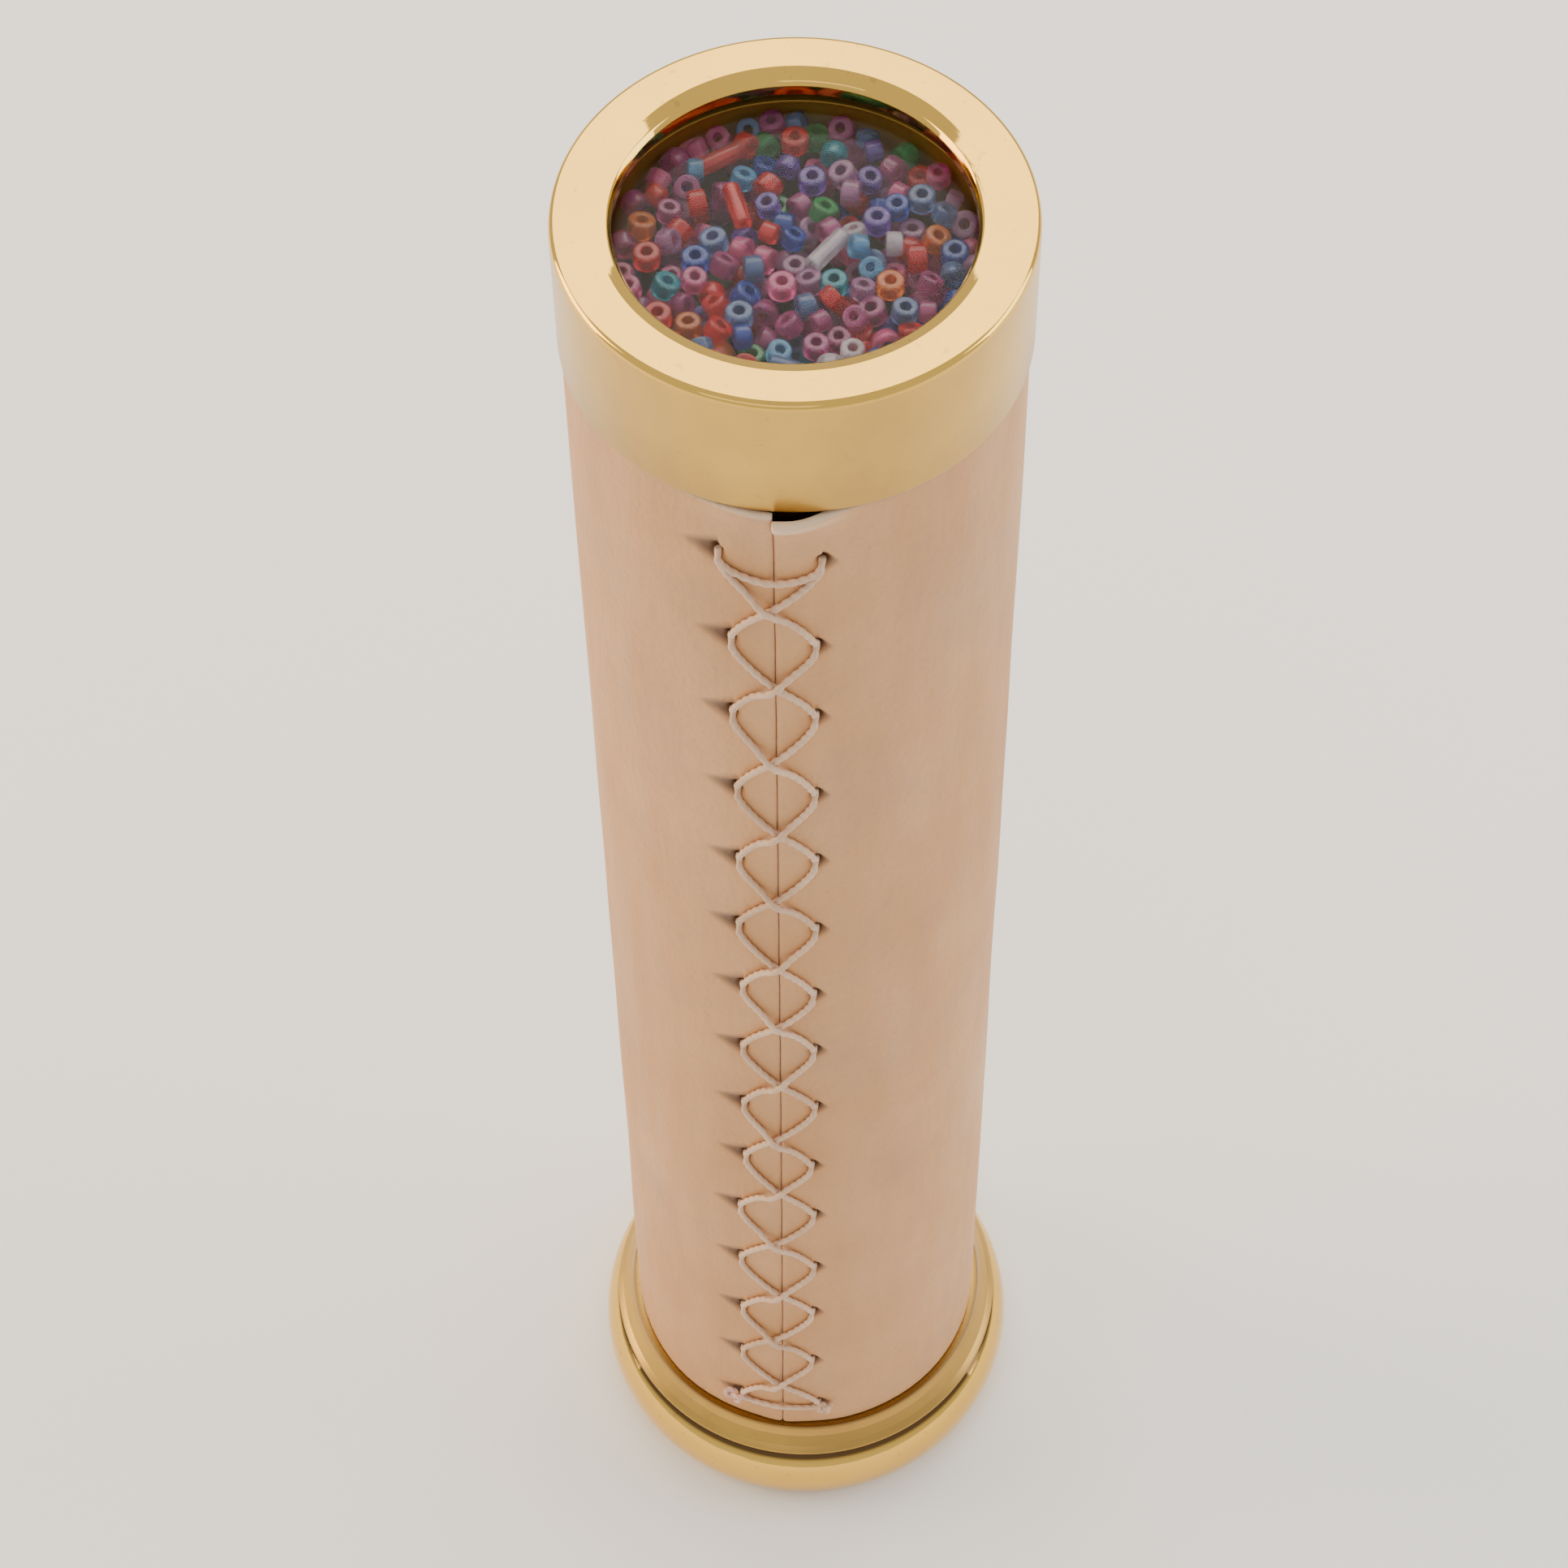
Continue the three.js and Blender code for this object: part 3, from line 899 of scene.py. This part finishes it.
def add_loose_beads(materials):
    """One glass bead in the place of each loose CAD bead."""
    random.seed(8)
    names = pick_colours()
    for node_name in sorted(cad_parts):
        if "_bead_" not in node_name:
            continue
        number = int(node_name.rsplit("_", 1)[1])
        low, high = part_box(node_name)
        centre = (low + high) / 2 / MM
        spin = 1.7 * number
        bugle = node_name.startswith("bugle")
        on_edge = bugle or number % 3 == 0
        axis = Vector((math.sin(spin), -math.cos(spin), 0)) if on_edge else Vector((0, 0, 1))
        sizes = BUGLE_SIZE if bugle else EDGE_BEAD_SIZE if on_edge else FLAT_BEAD_SIZE
        points, faces = placed(bead_shape(*sizes, 32), axis, centre)
        piece = mesh_object(f"loose_{node_name}", points, faces, 60)
        colour = random.choice(names)
        finish_piece(piece, "loose_beads", materials[colour], [node_name])


# ---------------------------------------------------------------- CAD nodes that stay

def window_material():
    """Clear glass: what is behind it, and a faint mirror image."""
    material = bpy.data.materials.new("window_glass")
    material.use_nodes = True
    tree = material.node_tree
    tree.nodes.clear()
    output = tree.nodes.new("ShaderNodeOutputMaterial")
    haze = spread(tree, cloud(tree, 60, 3), 0.3, 0.7, 0.0, 1.0)
    tint = mixed(tree, haze, (0.93, 0.95, 0.96), (0.96, 0.97, 0.98))
    clear = node(tree, "ShaderNodeBsdfTransparent", {"Color": tint})
    mirror = node(tree, "ShaderNodeBsdfGlossy", {"Color": (1, 1, 1, 1), "Roughness": 0.06})
    share = node(tree, "ShaderNodeFresnel", {"IOR": 1.15}).outputs[0]
    mix = node(tree, "ShaderNodeMixShader", {0: share, 1: clear.outputs[0], 2: mirror.outputs[0]})
    tree.links.new(mix.outputs[0], output.inputs["Surface"])
    return material


def plain_material(name, colours, roughness, scale=120, stretch=(1, 1, 1), depth=0.0001, **values):
    """Two colours mixed by a noise, and a bump of the same noise."""
    material, tree, shader = new_material(name, **values)
    grain = cloud(tree, scale, 4, stretch)
    put(tree, shader.inputs["Base Color"], mixed(tree, spread(tree, grain, 0.3, 0.7), *colours))
    put(tree, shader.inputs["Roughness"], spread(tree, grain, 0.3, 0.7, *roughness))
    put(tree, shader.inputs["Normal"], bump(tree, grain, depth, 0.6))
    return material


def woven_material():
    """Black tape with a weave."""
    material, tree, shader = new_material("woven_tape", Roughness=0.85)
    around = node(tree, "ShaderNodeTexWave", {"Vector": place(tree), "Scale": 700})
    along = node(tree, "ShaderNodeTexWave", {"Vector": place(tree), "Scale": 700}, bands_direction="Z")
    weave = maths(tree, "MULTIPLY", around.outputs["Fac"], along.outputs["Fac"])
    put(tree, shader.inputs["Base Color"], mixed(tree, weave, (0.02, 0.019, 0.018), (0.07, 0.065, 0.06)))
    put(tree, shader.inputs["Normal"], bump(tree, weave, 0.0001, 0.8))
    return material


def dress(names, material):
    """The material for these CAD nodes."""
    for name in names:
        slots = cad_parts[name].data.materials
        slots.clear()
        slots.append(material)


def dress_cad_nodes(plain_brass):
    """Materials for every CAD node that no piece replaces."""
    dress(["lens_retaining_ring", "head_spigot"], plain_brass)
    # Painted shade: the hidden tube is dark brown, so the leather's seam shows shade where it opens onto
    # the tube.
    dress(["main_tube"], brass("shade_darkened_brass", 0.45, 0.9))
    dress(["eye_lens", "outer_window", "inner_window"], window_material())
    steel = ((0.5, 0.5, 0.5), (0.62, 0.61, 0.6))
    dress(["snap_ring"], plain_material("spring_steel", steel, (0.25, 0.4), 400, Metallic=1.0))
    silver = ((0.86, 0.88, 0.9), (0.9, 0.92, 0.93))
    mirrors = [f"mirror_strip_{n}" for n in (1, 2, 3)]
    dress(mirrors, plain_material("mirror_silver", silver, (0.02, 0.05), 40, depth=1e-6, Metallic=1.0))
    foam = ((0.03, 0.028, 0.026), (0.07, 0.065, 0.06))
    pads = [f"packing_pad_{level}_{n}" for level in ("lower", "upper") for n in (1, 2, 3)]
    dress(pads, plain_material("packing_foam", foam, (0.85, 0.95), 1800, depth=0.0004))
    dress(["mirror_band_lower", "mirror_band_upper"], woven_material())
    card = ((0.012, 0.012, 0.012), (0.025, 0.024, 0.023))
    dress(["rear_mask", "front_mask"], plain_material("black_card", card, (0.75, 0.9), 900))
    rubber = ((0.02, 0.02, 0.019), (0.035, 0.034, 0.032))
    dress(["window_gasket"], plain_material("gasket_rubber", rubber, (0.5, 0.65), 500))


# ---------------------------------------------------------------- studio

def add_floor():
    """A plain pale matte floor."""
    mesh = bpy.data.meshes.new("floor")
    h = FLOOR_HALF
    mesh.from_pydata([(-h, -h, 0), (h, -h, 0), (h, h, 0), (-h, h, 0)], [], [(0, 1, 2, 3)])
    floor = bpy.data.objects.new("floor", mesh)
    bpy.context.scene.collection.objects.link(floor)
    material, tree, shader = new_material("floor_white", Roughness=0.9)
    tone = mixed(tree, cloud(tree, 3, 2), (0.90, 0.90, 0.90), (0.92, 0.92, 0.92))
    put(tree, shader.inputs["Base Color"], tone)
    floor.data.materials.append(material)


def add_softbox(name, place_at, size, radiance, colour):
    """A large soft lamp that faces the middle of the barrel."""
    data = bpy.data.lights.new(name, "AREA")
    data.shape = "RECTANGLE"
    data.size, data.size_y = size
    data.energy = radiance * math.pi * size[0] * size[1]
    data.color = colour
    lamp = bpy.data.objects.new(name, data)
    lamp.location = place_at
    aim = Vector((0, 0, TOTAL_HEIGHT * MM / 2))
    lamp.rotation_euler = (aim - Vector(place_at)).to_track_quat("-Z", "Y").to_euler()
    bpy.context.scene.collection.objects.link(lamp)


def add_studio():
    """A pale even sky and four softboxes above the floor."""
    world = bpy.data.worlds.new("studio")
    world.use_nodes = True
    sky = world.node_tree.nodes["Background"]
    sky.inputs["Color"].default_value = (1.0, 0.98, 0.96, 1)
    sky.inputs["Strength"].default_value = SKY_STRENGTH
    bpy.context.scene.world = world
    warm = (1.0, 0.90, 0.72)
    neutral = (1.0, 0.98, 0.95)
    add_softbox("overhead", (0.0, 0.75, 1.0), (1.6, 0.9), 3.3, warm)
    add_softbox("left", (-1.1, 0.1, 0.6), (0.7, 0.9), 6.5, (1.0, 0.76, 0.48))
    add_softbox("right", (1.1, 0.25, 0.6), (0.7, 0.9), 3.8, neutral)
    add_softbox("front", (-0.2, -1.1, 1.0), (1.0, 0.5), 0.8, neutral)


# ---------------------------------------------------------------- build

add_camera()
polished = brass("polished_brass", 0.045)
add_eyepiece(polished)
add_object_cap(polished)
plain_brass = brass("plain_brass", 0.32)
add_chamber_ring(brass("dull_brass", 0.5))
add_leather(leather_material())
pale_thread = thread_material("waxed_thread", (0.72, 0.50, 0.34), (0.52, 0.33, 0.20))
pink_thread = thread_material("stained_thread", (0.72, 0.45, 0.36), (0.5, 0.27, 0.2))
add_thread(pale_thread)
add_knot("knot_left", LEFT, 1.25, pink_thread, "thread_knot_left", 3)
add_knot("knot_right", RIGHT, 0.75, pale_thread, "thread_knot_right", 5)
glasses = {name: bead_material(name, colour) for name, (colour, _) in BEADS.items()}
add_packed_beads(glasses)
add_loose_beads(glasses)
dress_cad_nodes(plain_brass)
add_floor()
add_studio()
